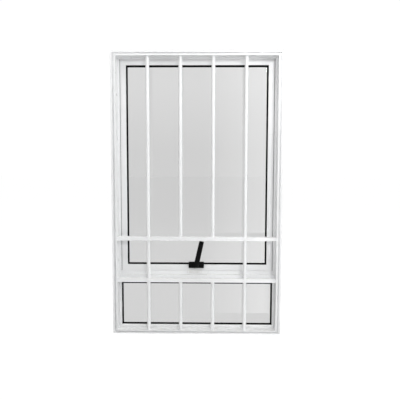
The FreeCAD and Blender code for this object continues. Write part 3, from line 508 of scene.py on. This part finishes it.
def parts_of(node):
    """The lowest and highest corners of each loose part of a CAD node, from left to right."""
    form = bmesh.new()
    form.from_mesh(frame["nodes"][node].data)
    bmesh.ops.remove_doubles(form, verts=form.verts, dist=WELD_GAP)
    seen, parts = set(), []
    for start in form.verts:
        if start in seen:
            continue
        seen.add(start)
        waiting, group = [start], []
        while waiting:
            corner = waiting.pop()
            group.append(corner.co.copy())
            for edge in corner.link_edges:
                other = edge.other_vert(corner)
                if other not in seen:
                    seen.add(other)
                    waiting.append(other)
        low = Vector([min(point[axis] for point in group) for axis in range(3)])
        high = Vector([max(point[axis] for point in group) for axis in range(3)])
        parts.append((low, high))
    form.free()
    return sorted(parts, key=lambda part: (round(part[0].x, 4), round(part[0].z, 4)))


def turned(form, profile, place, facets=32, closed=False):
    """Revolves a profile of (radius, height) points about the place's own upright axis."""
    rings = []
    for radius, height in profile:
        count = facets if radius > WELD_GAP else 1
        rings.append([form.verts.new(place @ Vector((radius * math.cos(math.tau * step / facets),
                                                     radius * math.sin(math.tau * step / facets),
                                                     height))) for step in range(count)])
    pairs = list(zip(rings, rings[1:]))
    if closed:
        pairs.append((rings[-1], rings[0]))
    for low, high in pairs:
        for step in range(facets):
            around = (step, (step + 1) % facets)
            corners = [low[around[0] % len(low)], low[around[1] % len(low)],
                       high[around[1] % len(high)], high[around[0] % len(high)]]
            form.faces.new(list(dict.fromkeys(corners)))


def standing(place, axis):
    """A place whose upright axis points along the given direction."""
    return Matrix.Translation(place) @ Z.rotation_difference(axis).to_matrix().to_4x4()


def mitred(form, outer, inner, profile, gap=0.0):
    """Runs a profile round a rectangle. Its points are (share of the way in, depth).

    outer and inner are (half width, bottom, top). With a gap, the corners are open mitres.
    """
    for side in range(4):
        ends = []
        for share, depth in profile:
            half, bottom, top = (a + (b - a) * share for a, b in zip(outer, inner))
            corners = [Vector((-half, depth, bottom)), Vector((half, depth, bottom)),
                       Vector((half, depth, top)), Vector((-half, depth, top))]
            start, end = corners[side], corners[(side + 1) % 4]
            pull = (end - start).normalized() * gap / 2
            ends.append((form.verts.new(start + pull), form.verts.new(end - pull)))
        for here, there in zip(ends, ends[1:] + ends[:1]):
            form.faces.new((here[0], here[1], there[1], there[0]))
        if gap > 0:
            form.faces.new([pair[0] for pair in ends])
            form.faces.new([pair[1] for pair in reversed(ends)])
    bmesh.ops.remove_doubles(form, verts=form.verts, dist=WELD_GAP)
    bmesh.ops.recalc_face_normals(form, faces=form.faces)


def ring_of(node):
    """The outer and inner rectangles of a frame-shaped CAD node, and its front and back."""
    across, depth, up = (levels(node, axis) for axis in range(3))
    return (across[-1], up[0], up[-1]), (across[-2], up[1], up[-2]), (depth[0], depth[-1])


def ring_piece(node, title, slot, outline, gap=0.0, widen=(0, 0, 0)):
    """A mitred ring in the CAD node's own place. The outline's points are shares of its width and depth.

    widen takes its sides, its bottom and its top further in.
    """
    outer, inner, (front, back) = ring_of(node)
    inner = (inner[0] - widen[0], inner[1] + widen[1], inner[2] - widen[2])
    form = bmesh.new()
    profile = [(share, front + (back - front) * depth) for share, depth in outline]
    mitred(form, outer, inner, profile, gap)
    return fit(piece_from(form, title), slot, node)


# ---------------------------------------------------------------- frame, sash and glazing

class AddFrameMembers(bpy.types.Operator):
    """Add the mitred head, sill and jambs, and the transom between the two lights"""

    bl_idname = "barred_window.frame_members"
    bl_label = "Frame members"

    def execute(self, context):
        for node in ("head", "sill", "left_jamb", "right_jamb", "transom"):
            eased(node, f"coated_{node}", "white_coated_aluminium", sizes().coat_edge)
        return {"FINISHED"}


class AddSashMembers(bpy.types.Operator):
    """Add the sash's two rails and two stiles"""

    bl_idname = "barred_window.sash_members"
    bl_label = "Sash members"

    def execute(self, context):
        for node in ("sash_top_rail", "sash_bottom_rail", "sash_left_stile", "sash_right_stile"):
            eased(node, f"coated_{node}", "white_coated_aluminium", sizes().coat_edge)
        return {"FINISHED"}


class AddInnerPieces(bpy.types.Operator):
    """Finish the corner cleats and the blocks that the panes stand on"""

    bl_idname = "barred_window.inner_pieces"
    bl_label = "Cleats and glazing blocks"

    def execute(self, context):
        for node in ("frame_corner_cleats", "sash_corner_cleats"):
            finish_node(node, "raw_aluminium")
        for node in ("fixed_setting_blocks", "sash_setting_blocks"):
            finish_node(node, "black_nylon")
        return {"FINISHED"}


class AddGlass(bpy.types.Operator):
    """Add the sash's pane and the fixed pane, each with a ground arris"""

    bl_idname = "barred_window.glass"
    bl_label = "Glass"

    def execute(self, context):
        for node in ("sash_glass", "fixed_glass"):
            eased(node, f"{node}_pane", "clear_glass", sizes().glass_arris)
        return {"FINISHED"}


FRONT_LIP = ((0, 1), (0, 0.18), (0.2, 0.04), (0.55, 0), (0.76, 0.06), (0.9, 0.24), (0.98, 0.5), (1, 0.8),
             (0.97, 1))
BACK_LIP = tuple((share, 1 - depth) for share, depth in reversed(FRONT_LIP))


class AddGaskets(bpy.types.Operator):
    """Add the wedge gaskets on both faces of both panes"""

    bl_idname = "barred_window.gaskets"
    bl_label = "Glazing gaskets"

    def execute(self, context):
        for light, drop in (("sash", sizes().sash_lip_drop), ("fixed", sizes().fixed_lip_drop)):
            for face, outline, lower in (("inner", FRONT_LIP, drop), ("outer", BACK_LIP, 0)):
                ring_piece(f"{light}_{face}_gasket", f"{light}_{face}_wedge", "black_gasket", outline,
                           widen=(0, 0, lower))
        return {"FINISHED"}


class AddSashSeal(bpy.types.Operator):
    """Add the bulb seal between the frame's fins and the sash"""

    bl_idname = "barred_window.sash_seal"
    bl_label = "Sash seal"

    def execute(self, context):
        bulb = ((0, 0), (1, 0), (1, 0.3), (0.8, 0.3), (0.88, 0.62), (0.76, 0.9), (0.5, 1), (0.24, 0.9),
                (0.12, 0.62), (0.2, 0.3), (0, 0.3))
        ring_piece("sash_seal", "sash_bulb_seal", "black_gasket", bulb, widen=(sizes().seal_show, 0, 0))
        return {"FINISHED"}


class AddGlazingBeads(bpy.types.Operator):
    """Add the clip-in beads that hold the panes, four to each light"""

    bl_idname = "barred_window.glazing_beads"
    bl_label = "Glazing beads"

    def execute(self, context):
        front = ((0, 1), (0, 0.02), (0.03, 0), (0.55, 0), (0.82, 0.1), (0.95, 0.22), (1, 0.36), (1, 1))
        back = tuple((share, 1 - depth) for share, depth in reversed(front))
        for light, outline in (("fixed", front), ("sash", back)):
            ring_piece(f"{light}_glazing_beads", f"{light}_clip_beads", "white_coated_aluminium", outline,
                       sizes().mitre_gap)
        return {"FINISHED"}


# ---------------------------------------------------------------- grille

SOLID_SHARE = 0.95


def tube_between(node):
    """A round tube in the place of a CAD bar, with its bore and softened ends."""
    low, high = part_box(node)
    centre = Vector(((low.x + high.x) / 2, (low.y + high.y) / 2, 0))
    radius = (high.x - low.x) / 2
    bore = min((Vector((corner.co.x, corner.co.y, 0)) - centre).length
               for corner in frame["nodes"][node].data.vertices)
    hollow = bore < radius * SOLID_SHARE
    ease = sizes().coat_edge
    profile = [(radius - ease, low.z), (radius, low.z + ease),
               (radius, high.z - ease), (radius - ease, high.z)]
    if hollow:
        profile += [(bore, high.z), (bore, low.z)]
    form = bmesh.new()
    turned(form, profile, Matrix.Translation(centre), ROUND_FACETS, hollow)
    bmesh.ops.recalc_face_normals(form, faces=form.faces)
    return form


class AddGrilleBars(bpy.types.Operator):
    """Add the round bars: two that run the full height and four short of the hand gap"""

    bl_idname = "barred_window.grille_bars"
    bl_label = "Grille bars"

    def execute(self, context):
        for side in SIDES:
            for part in ("long", "upper", "lower"):
                node = f"{side}_{part}_bar"
                fit(piece_from(tube_between(node), f"round_{node}"), "white_coated_aluminium", node)
        return {"FINISHED"}


class AddGrilleRails(bpy.types.Operator):
    """Add the two flat rails that the bars pass through or end in"""

    bl_idname = "barred_window.grille_rails"
    bl_label = "Grille rails"

    def execute(self, context):
        for node in ("upper_rail", "lower_rail"):
            eased(node, f"coated_{node}", "white_coated_aluminium", sizes().coat_edge * 1.5)
        return {"FINISHED"}


def fastener_set(node, title, slot, profile, facets=28):
    """One turned fastener, its head towards the room, in the place of each loose part of a CAD node.

    The profile goes from the foot to the head's top, in (radius, height) shares of the part's own size.
    """
    form = bmesh.new()
    for low, high in parts_of(node):
        span = high - low
        radius = max(span.x, span.z) / 2
        foot = (low + high) / 2
        foot.y = high.y
        turned(form, [(share * radius, rise * span.y) for share, rise in profile],
               standing(foot, TOWARDS_ROOM), facets)
    bmesh.ops.recalc_face_normals(form, faces=form.faces)
    return fit(piece_from(form, title), slot, node)


# Turned profiles, from the foot to the head's top: shares of the part's own radius and length.
BLIND_RIVET = ((0, 0), (0.55, 0), (0.55, 0.74), (1, 0.76), (0.98, 0.84), (0.84, 0.94), (0.6, 1), (0.42, 1),
               (0.38, 0.94), (0, 0.92))
SPINDLE = ((0, 0), (0.66, 0), (0.72, 0.02), (0.72, 0.93), (1, 0.93), (1, 0.975), (0.86, 0.995), (0.5, 1),
           (0.44, 0.985), (0, 0.985))
PAN_SCREW = ((0, 0), (0.2, 0.06), (0.34, 0.2), (0.42, 0.22), (0.42, 0.76), (0.95, 0.78), (1, 0.82),
             (0.9, 0.92), (0.6, 0.99), (0.32, 1), (0.26, 0.9), (0, 0.88))


class AddGrilleFasteners(bpy.types.Operator):
    """Add the blind rivets on the rails' faces, and the screws and plugs at the rails' ends"""

    bl_idname = "barred_window.grille_fasteners"
    bl_label = "Grille rivets, plugs and screws"

    def execute(self, context):
        fastener_set("grille_rivets", "blind_grille_rivets", "white_coated_aluminium", BLIND_RIVET)
        finish_node("rail_end_plugs", "white_nylon")
        finish_node("rail_end_screws", "zinc_screw")
        return {"FINISHED"}


# ---------------------------------------------------------------- stays

class AddStays(bpy.types.Operator):
    """Add the friction stays: tracks, arms, sash bars and shoes, with their pins and rivets"""

    bl_idname = "barred_window.stays"
    bl_label = "Friction stays"

    def execute(self, context):
        for side in SIDES:
            for part in ("stay_track", "stay_arm", "sash_bar", "sash_pins", "frame_pin"):
                eased(f"{side}_{part}", f"steel_{side}_{part}", "stainless_steel", sizes().metal_edge)
            eased(f"{side}_stay_shoe", f"nylon_{side}_stay_shoe", "white_nylon", sizes().moulded_edge)
        for node in ("stay_track_rivets", "sash_bar_screws"):
            finish_node(node, "zinc_screw")
        return {"FINISHED"}


# ---------------------------------------------------------------- handle

# Sections of the grip: how far along the lever, and shares of its width and of its thickness there.
GRIP = ((-0.06, 0.8, 0.6), (0.0, 1.0, 0.86), (0.1, 1.0, 1.0), (0.5, 1.0, 1.0), (0.9, 1.0, 0.9),
        (0.975, 0.98, 0.84), (0.993, 0.92, 0.78), (1.0, 0.84, 0.7))
GRIP_CORNERS = 28
GRIP_SQUARENESS = 0.34
# The hub, from its back to its domed front: shares of its radius and height.
HUB = ((0, 0), (0.97, 0), (1, 0.06), (1, 0.72), (0.93, 0.9), (0.8, 1), (0, 1))
GRIP_SETBACK = 0.0004


def grip(form, hub, front, back):
    """The lever's grip: rounded oblong sections that run out from the hub and thin towards the tip."""
    lean = sizes().lever_lean
    along = Vector((math.sin(lean), 0, math.cos(lean)))
    across = Vector((math.cos(lean), 0, -math.sin(lean)))
    rings = []
    for share, fullness, thickness in GRIP:
        width = sizes().lever_width + (sizes().lever_tip_width - sizes().lever_width) * share
        depth = (back - front) * thickness
        middle = hub + along * sizes().lever_length * share + Y * (back - depth / 2)
        ring = []
        for step in range(GRIP_CORNERS):
            turn = math.tau * step / GRIP_CORNERS
            sideways, inward = (math.copysign(abs(part) ** GRIP_SQUARENESS, part)
                                for part in (math.cos(turn), math.sin(turn)))
            aside = across * sideways * width * fullness / 2
            ring.append(form.verts.new(middle + aside + Y * inward * depth / 2))
        rings.append(ring)
    for low, high in zip(rings, rings[1:]):
        for step in range(GRIP_CORNERS):
            after = (step + 1) % GRIP_CORNERS
            form.faces.new((low[step], low[after], high[after], high[step]))
    form.faces.new(list(reversed(rings[0])))
    form.faces.new(rings[-1])


def cast_lever():
    """The hub with its domed rim and the grip, blended into one casting."""
    low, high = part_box("handle_lever")
    axis_low, axis_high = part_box("handle_spindle")
    hub = Vector(((axis_low.x + axis_high.x) / 2, 0, (axis_low.z + axis_high.z) / 2))
    radius, height = hub.x - low.x, high.y - low.y
    form = bmesh.new()
    turned(form, [(radius * share, height * rise) for share, rise in HUB],
           standing(hub + Y * high.y, TOWARDS_ROOM), ROUND_FACETS)
    grip(form, hub, low.y, high.y - GRIP_SETBACK)
    bmesh.ops.recalc_face_normals(form, faces=form.faces)
    lever = piece_from(form, "cast_handle_lever")
    blend = lever.modifiers.new("casting", "REMESH")
    blend.mode = "VOXEL"
    blend.voxel_size = sizes().casting_grain
    blend.use_smooth_shade = True
    soften = lever.modifiers.new("softening", "SMOOTH")
    soften.factor = 0.5
    soften.iterations = 5
    settled(lever)
    return fit(lever, "black_coated_metal", "handle_lever")


class AddHandle(bpy.types.Operator):
    """Add the cam handle: its base and screws on the sash, and the lever with its spindle and tongue"""

    bl_idname = "barred_window.handle"
    bl_label = "Cam handle"

    def execute(self, context):
        eased("handle_base", "cast_handle_base", "black_coated_metal", sizes().cast_edge)
        cast_lever()
        eased("cam_tongue", "cast_cam_tongue", "black_coated_metal", sizes().metal_edge)
        fastener_set("handle_spindle", "riveted_spindle", "black_coated_metal", SPINDLE, 40)
        fastener_set("handle_screws", "pan_head_handle_screws", "black_coated_metal", PAN_SCREW)
        return {"FINISHED"}


class AddKeeper(bpy.types.Operator):
    """Add the nylon keeper that the cam tongue closes behind, and its rivets"""

    bl_idname = "barred_window.keeper"
    bl_label = "Keeper"

    def execute(self, context):
        eased("keeper", "nylon_keeper", "white_nylon", sizes().moulded_edge)
        eased("keeper_rivets", "painted_keeper_rivets", "white_coated_aluminium", sizes().metal_edge)
        return {"FINISHED"}


# ---------------------------------------------------------------- stage

def seen_directly(tree, through_glass=1.0):
    """One for what the lens sees straight, a share of that through glass, and nought for other light."""
    path = tree.nodes.new("ShaderNodeLightPath")
    seen = tree.nodes.new("ShaderNodeMath")
    seen.operation = "MULTIPLY_ADD"
    tree.links.new(path.outputs["Is Transmission Ray"], seen.inputs[0])
    seen.inputs[1].default_value = through_glass
    tree.links.new(path.outputs["Is Camera Ray"], seen.inputs[2])
    return seen.outputs["Value"]


# The floor's own colour is held back where the lens sees it, since its glow alone makes it white there.
FLOOR_IN_VIEW = (0.06, 0.06, 0.06)
FLOOR_THROUGH_GLASS = 0.875
SURROUND_THROUGH_GLASS = 0.885
SURROUND_WHITE = 1.02


def floor_finish():
    """Pale matt paper that glows for the lens, so that it runs out into the white surround."""
    made = Finish("pale_studio_floor")
    tone = made.spread(made.noise(1.5, 3), 0, 1)
    paper = made.blend(tone, (0.78, 0.78, 0.78), (0.82, 0.82, 0.82))
    made.feed("Base Color", made.blend(seen_directly(made.tree), paper, FLOOR_IN_VIEW))
    made.set("Roughness", 0.9)
    made.set("Specular IOR Level", 0.0)
    seen = seen_directly(made.tree, FLOOR_THROUGH_GLASS)
    made.feed("Emission Strength", made.spread(seen, 0, stage().floor_glow, 0, 1))
    return made.material


PANEL_HALF = (0.5, 0.65)
PANEL_PLACE = (0.15, -0.18, 0.655)
# Where the glow rises and falls across the panel, and where it rises up it, from the panel's middle.
PANEL_RISE = (-0.13, 0.12)
PANEL_FALL = (0.115, 0.16)
PANEL_CLIMB = (0.0, 0.26)
PANEL_TOP_SHARE = 0.6


def panel_finish():
    """White light that grows towards the panel's right side, and a little towards its top."""
    made = Finish("soft_panel_glow")
    parts = made.tree.nodes.new("ShaderNodeSeparateXYZ")
    made.link(made.coordinates.outputs["Object"], parts.inputs["Vector"])
    glow = made.tree.nodes.new("ShaderNodeEmission")
    strength = made.tree.nodes.new("ShaderNodeMath")
    strength.operation = "ADD"
    across, up = parts.outputs["X"], parts.outputs["Z"]
    rising = made.spread(across, 0, stage().panel_glow, *PANEL_RISE)
    climbing = made.spread(up, 0, stage().panel_glow * PANEL_TOP_SHARE, *PANEL_CLIMB)
    made.link(made.times(rising, made.spread(across, 1, 0, *PANEL_FALL)), strength.inputs[0])
    made.link(climbing, strength.inputs[1])
    made.link(strength.outputs["Value"], glow.inputs["Strength"])
    clear = made.tree.nodes.new("ShaderNodeBsdfTransparent")
    both = made.tree.nodes.new("ShaderNodeAddShader")
    made.link(clear.outputs["BSDF"], both.inputs[0])
    made.link(glow.outputs["Emission"], both.inputs[1])
    made.link(both.outputs["Shader"], made.tree.nodes["Material Output"].inputs["Surface"])
    return made.material


# Each light's name, the length of its side and where it hangs. All face the window's middle.
LIGHTS = (("key", 0.5, (0.755, -2.32, 1.39)), ("top", 1.6, (0, -0.9, 2.6)), ("right", 1.6, (1.8, -1.2, 0.6)),
          ("left", 1.6, (-1.6, -1.6, 0.9)), ("back", 1.2, (2.1, 1.6, 2.3)))
FLOOR_REACH = 15


class AddStage(bpy.types.Operator):
    """Add the pale floor, the studio lights and the camera"""

    bl_idname = "barred_window.stage"
    bl_label = "Floor, lights and camera"

    def execute(self, context):
        scene = context.scene
        scene.view_settings.view_transform = "Standard"
        form = bmesh.new()
        bmesh.ops.create_grid(form, x_segments=8, y_segments=8, size=FLOOR_REACH)
        floor = piece_from(form, "studio_floor")
        floor.data.materials.append(floor_finish())
        self.add_panel()
        self.add_world(scene)
        for name, size, place in LIGHTS:
            self.add_light(scene, f"{name}_light", getattr(stage(), f"{name}_power"), size, place)
        self.add_camera(scene)
        return {"FINISHED"}

    def add_panel(self):
        """A panel that only the glass and the gloss of the coat mirror."""
        form = bmesh.new()
        half, rise = PANEL_HALF
        form.faces.new([form.verts.new((x, 0, z))
                        for x, z in ((-half, -rise), (half, -rise), (half, rise), (-half, rise))])
        panel = piece_from(form, "soft_panel")
        panel.location = PANEL_PLACE
        panel.data.materials.append(panel_finish())
        panel.visible_camera = False
        panel.visible_diffuse = False
        panel.visible_transmission = False
        panel.visible_shadow = False

    def add_world(self, scene):
        world = bpy.data.worlds.new("studio_surround")
        world.use_nodes = True
        tree = world.node_tree
        background = tree.nodes["Background"]
        background.inputs["Color"].default_value = (1, 1, 1, 1)
        background.inputs["Strength"].default_value = stage().room_light
        sweep = tree.nodes.new("ShaderNodeBackground")
        sweep.inputs["Color"].default_value = (1, 1, 1, 1)
        sweep.inputs["Strength"].default_value = SURROUND_WHITE
        mix = tree.nodes.new("ShaderNodeMixShader")
        tree.links.new(seen_directly(tree, SURROUND_THROUGH_GLASS), mix.inputs["Fac"])
        tree.links.new(background.outputs["Background"], mix.inputs[1])
        tree.links.new(sweep.outputs["Background"], mix.inputs[2])
        tree.links.new(mix.outputs["Shader"], tree.nodes["World Output"].inputs["Surface"])
        scene.world = world

    def add_light(self, scene, name, power, size, place):
        lamp = bpy.data.lights.new(name, "AREA")
        lamp.energy = power
        lamp.size = size
        light = bpy.data.objects.new(name, lamp)
        light.location = place
        middle = (Vector(cad_box[0]) + Vector(cad_box[1])) / 2
        light.rotation_euler = (middle - light.location).to_track_quat("-Z", "Y").to_euler()
        scene.collection.objects.link(light)

    def add_camera(self, scene):
        camera = bpy.data.objects.new("camera", bpy.data.cameras.new("camera"))
        camera.data.lens = stage().camera_lens
        camera.data.sensor_width = 36
        camera.data.clip_start = 0.05
        camera.location = stage().camera_place
        camera.rotation_euler = stage().camera_turn
        scene.collection.objects.link(camera)
        scene.camera = camera


# ---------------------------------------------------------------- panel and registration

STEPS = (AddFrameMembers, AddSashMembers, AddInnerPieces, AddGlass, AddGaskets, AddSashSeal, AddGlazingBeads,
         AddGrilleBars, AddGrilleRails, AddGrilleFasteners, AddStays, AddHandle, AddKeeper, AddStage)


class BarredWindowPanel(bpy.types.Panel):
    """Lists the window's pieces and settings in the sidebar"""

    bl_idname = "VIEW3D_PT_barred_window"
    bl_label = "Barred window"
    bl_space_type = "VIEW_3D"
    bl_region_type = "UI"
    bl_category = "Barred window"

    def draw(self, context):
        for step in STEPS:
            self.layout.operator(step.bl_idname)
        for group in (sizes(), finishes(), stage()):
            box = self.layout.box()
            for name in group.bl_rna.properties.keys():
                if name not in ("rna_type", "name"):
                    box.prop(group, name)


GROUPS = (("barred_window_sizes", WindowSizes), ("barred_window_finishes", WindowFinishes),
          ("barred_window_stage", WindowStage))


def register():
    for name, group in GROUPS:
        bpy.utils.register_class(group)
        setattr(bpy.types.Scene, name, bpy.props.PointerProperty(type=group))
    for entry in (*STEPS, BarredWindowPanel):
        bpy.utils.register_class(entry)


def unregister():
    for entry in reversed((*STEPS, BarredWindowPanel)):
        bpy.utils.unregister_class(entry)
    for name, group in reversed(GROUPS):
        delattr(bpy.types.Scene, name)
        bpy.utils.unregister_class(group)


def main():
    register()
    for step in STEPS:
        area, name = step.bl_idname.split(".")
        getattr(getattr(bpy.ops, area), name)()


if __name__ == "__main__":
    main()
